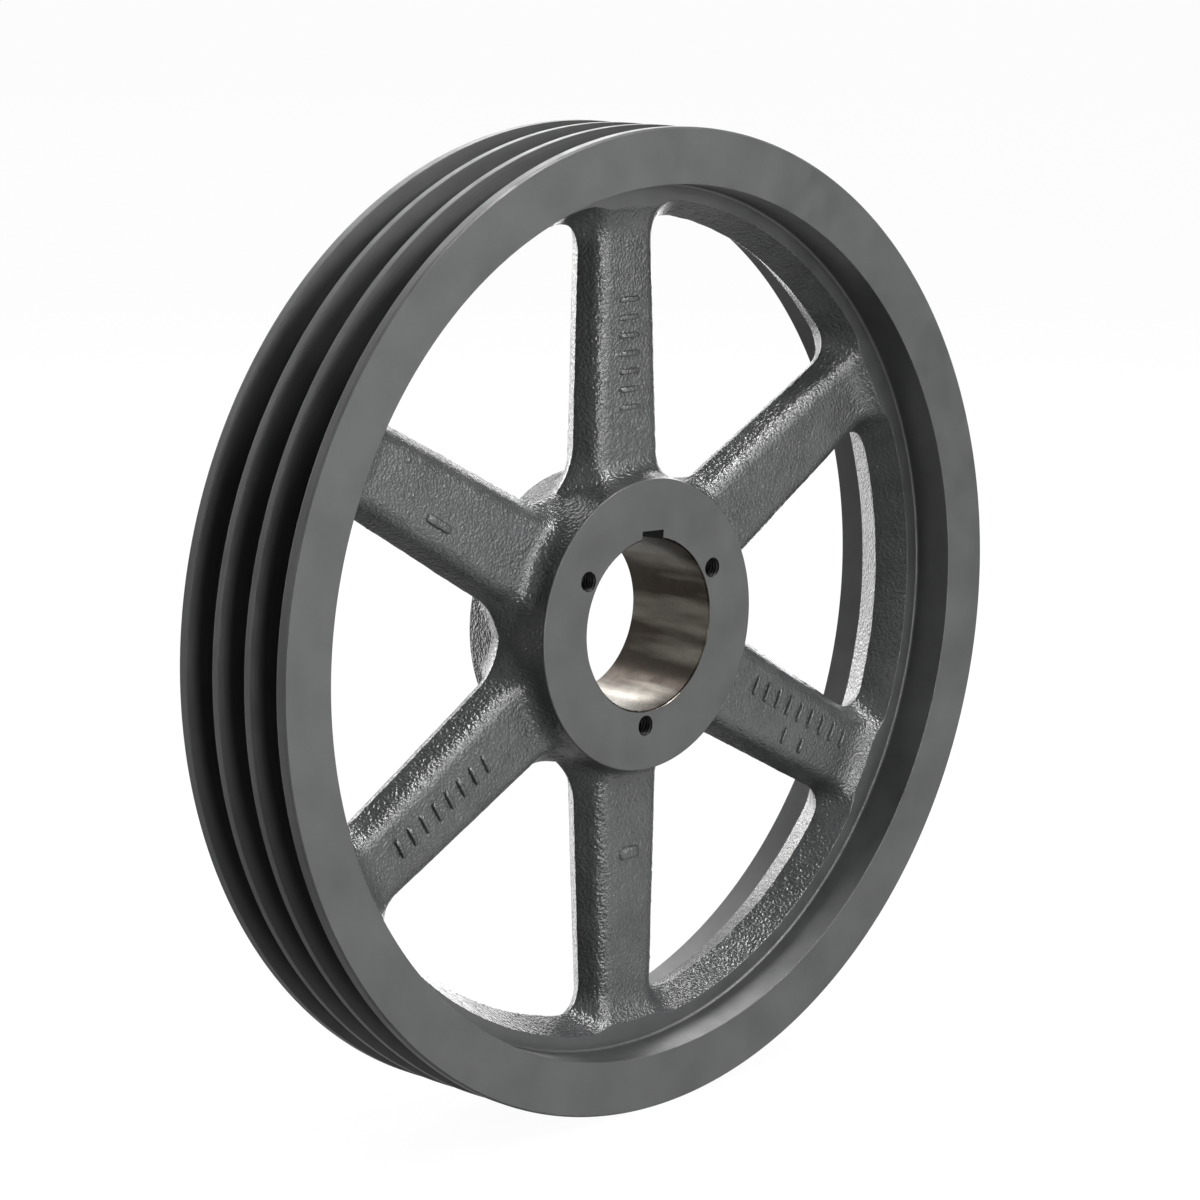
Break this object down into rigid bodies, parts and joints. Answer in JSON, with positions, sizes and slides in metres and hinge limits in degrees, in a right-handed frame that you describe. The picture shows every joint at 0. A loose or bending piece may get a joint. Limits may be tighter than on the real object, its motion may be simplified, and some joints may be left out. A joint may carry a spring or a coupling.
{
  "type": "v belt pulley",
  "caption": "Spoked cast V-belt pulley with parallel belt grooves, a dished rim and a tapered keyed bore for a bushing.",
  "frame": {"origin": "centre of the wheel, on its axis and midway between the rim's two faces", "axes": "+Y along the axis, away from the face with the tapped holes; +Z along the first arm; +X to the right as seen from the tapped side"},
  "size_m": [0.4152, 0.0636, 0.4152],
  "materials": {
    "cast_paint": "dark grey enamel over a pebbly as-cast skin, glossy on the grains",
    "machined_paint": "dark grey satin enamel over turned iron",
    "groove_paint": "thin near-black satin coat over turned belt grooves",
    "bare_bore": "bare oiled iron, finely turned"
  },
  "bodies": {
    "root": {"front_flange": "machined_paint", "groove_ridge_1": "groove_paint", "groove_ridge_2": "groove_paint", "back_flange": "machined_paint", "rim_band": "machined_paint", "rim_web": "cast_paint", "hub": "machined_paint", "arm_1": "cast_paint", "arm_2": "cast_paint", "arm_3": "cast_paint", "arm_4": "cast_paint", "arm_5": "cast_paint", "arm_6": "cast_paint"}
  },
  "joints": []
}
